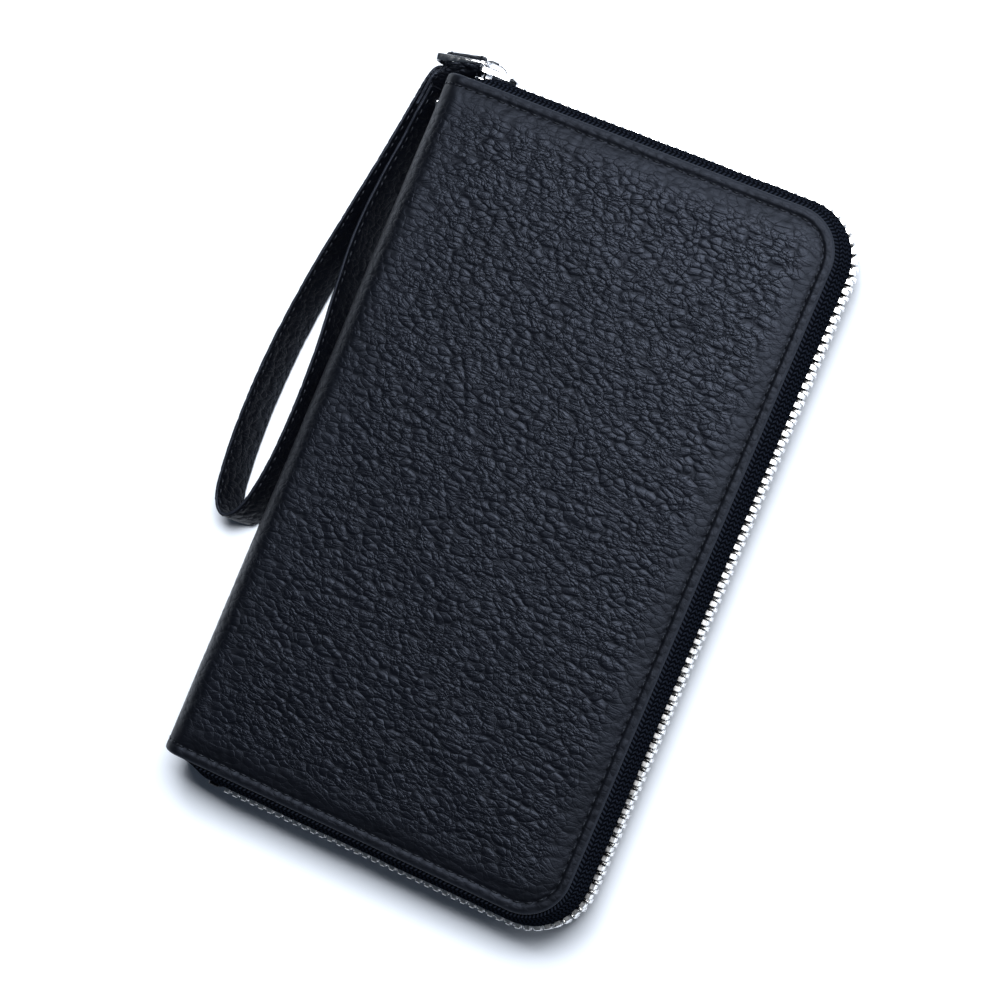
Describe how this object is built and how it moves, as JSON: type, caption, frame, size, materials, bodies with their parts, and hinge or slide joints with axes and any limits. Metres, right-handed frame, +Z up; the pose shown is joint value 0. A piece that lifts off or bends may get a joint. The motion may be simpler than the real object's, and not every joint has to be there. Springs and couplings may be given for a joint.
{
  "type": "long wallet",
  "caption": "Zip-around long wallet in black pebbled leather, closed and lying on its back, with a wrist strap looped through a metal ring on the slider.",
  "frame": {"origin": "middle of the back cover's outer face, which lies on the surface", "axes": "+X from the spine to the zip's mouth, +Y along the wallet to the end where the slider is parked, +Z up from the back cover to the front cover"},
  "size_m": [0.1457, 0.2124, 0.025],
  "materials": {
    "outer_leather": "pebbled, satin",
    "inner_leather": "smooth, matt",
    "stiffener_board": "plain",
    "zip_tape": "woven twill",
    "polished_metal": "polished",
    "zip_teeth_metal": "bright, tumbled"
  },
  "bodies": {
    "root": {"back_cover_leather": "outer_leather", "back_cover_board": "stiffener_board", "back_lining": "inner_leather", "back_card_pocket_1": "inner_leather", "back_card_pocket_2": "inner_leather", "back_card_pocket_3": "inner_leather", "back_card_pocket_4": "inner_leather", "back_zip_tape": "zip_tape", "back_zip_teeth": "zip_teeth_metal", "spine_leather": "outer_leather", "zip_end_stop": "polished_metal"},
    "front_cover": {"front_cover_leather": "outer_leather", "front_cover_board": "stiffener_board", "front_lining": "inner_leather", "front_card_pocket_1": "inner_leather", "front_card_pocket_2": "inner_leather", "front_card_pocket_3": "inner_leather", "front_card_pocket_4": "inner_leather", "front_zip_tape": "zip_tape", "front_zip_teeth": "zip_teeth_metal"},
    "coin_pocket": {"coin_pocket": "inner_leather", "coin_back_zip_tape": "zip_tape", "coin_front_zip_tape": "zip_tape", "coin_back_zip_teeth": "zip_teeth_metal", "coin_front_zip_teeth": "zip_teeth_metal"},
    "coin_slider": {"coin_slider": "polished_metal"},
    "coin_pull": {"coin_pull_tab": "polished_metal"},
    "slider": {"slider_body": "polished_metal", "slider_bridge": "polished_metal", "slider_lock_spring": "polished_metal"},
    "ring": {"strap_ring": "polished_metal"},
    "strap": {"wrist_strap": "outer_leather", "strap_rivet_cap": "polished_metal", "strap_rivet_post": "polished_metal"}
  },
  "joints": [
    {"name": "front_cover_open", "type": "hinge", "parent": "root", "child": "front_cover", "pos_m": [-0.06, 0, 0.0125], "axis": [0, -1, 0], "range_deg": [0, 95], "deforming": ["spine_leather"]},
    {"name": "coin_pocket_swing", "type": "hinge", "parent": "root", "child": "coin_pocket", "pos_m": [-0.06, 0, 0.0125], "axis": [0, -1, 0], "range_deg": [0, 47.5]},
    {"name": "zip_slide", "type": "slide", "parent": "root", "child": "slider", "axis": [1, 0, 0], "range_m": [0, 0.045], "deforming": ["back_zip_teeth", "front_zip_teeth", "wrist_strap"]},
    {"name": "ring_swing", "type": "hinge", "parent": "slider", "child": "ring", "pos_m": [-0.0538, 0.10635, 0.0128], "axis": [0, 0, 1], "range_deg": [-131, 0]},
    {"name": "strap_lift", "type": "hinge", "parent": "ring", "child": "strap", "pos_m": [-0.06162, 0.10469, 0.00945], "axis": [-0.9781, -0.2079, 0], "range_deg": [0, 30]},
    {"name": "coin_zip_slide", "type": "slide", "parent": "coin_pocket", "child": "coin_slider", "axis": [0, -1, 0], "range_m": [0, 0.15], "deforming": ["coin_back_zip_teeth", "coin_front_zip_teeth"]},
    {"name": "coin_pull_swing", "type": "hinge", "parent": "coin_slider", "child": "coin_pull", "pos_m": [0.0429, 0.08, 0.0125], "axis": [0, 0, 1], "range_deg": [0, 100]}
  ],
  "couplings": [
    {"joint": "coin_pocket_swing", "follows": "front_cover_open", "ratio": 0.5},
    {"joint": "ring_swing", "follows": "zip_slide", "rad_per_m": -50.421}
  ]
}
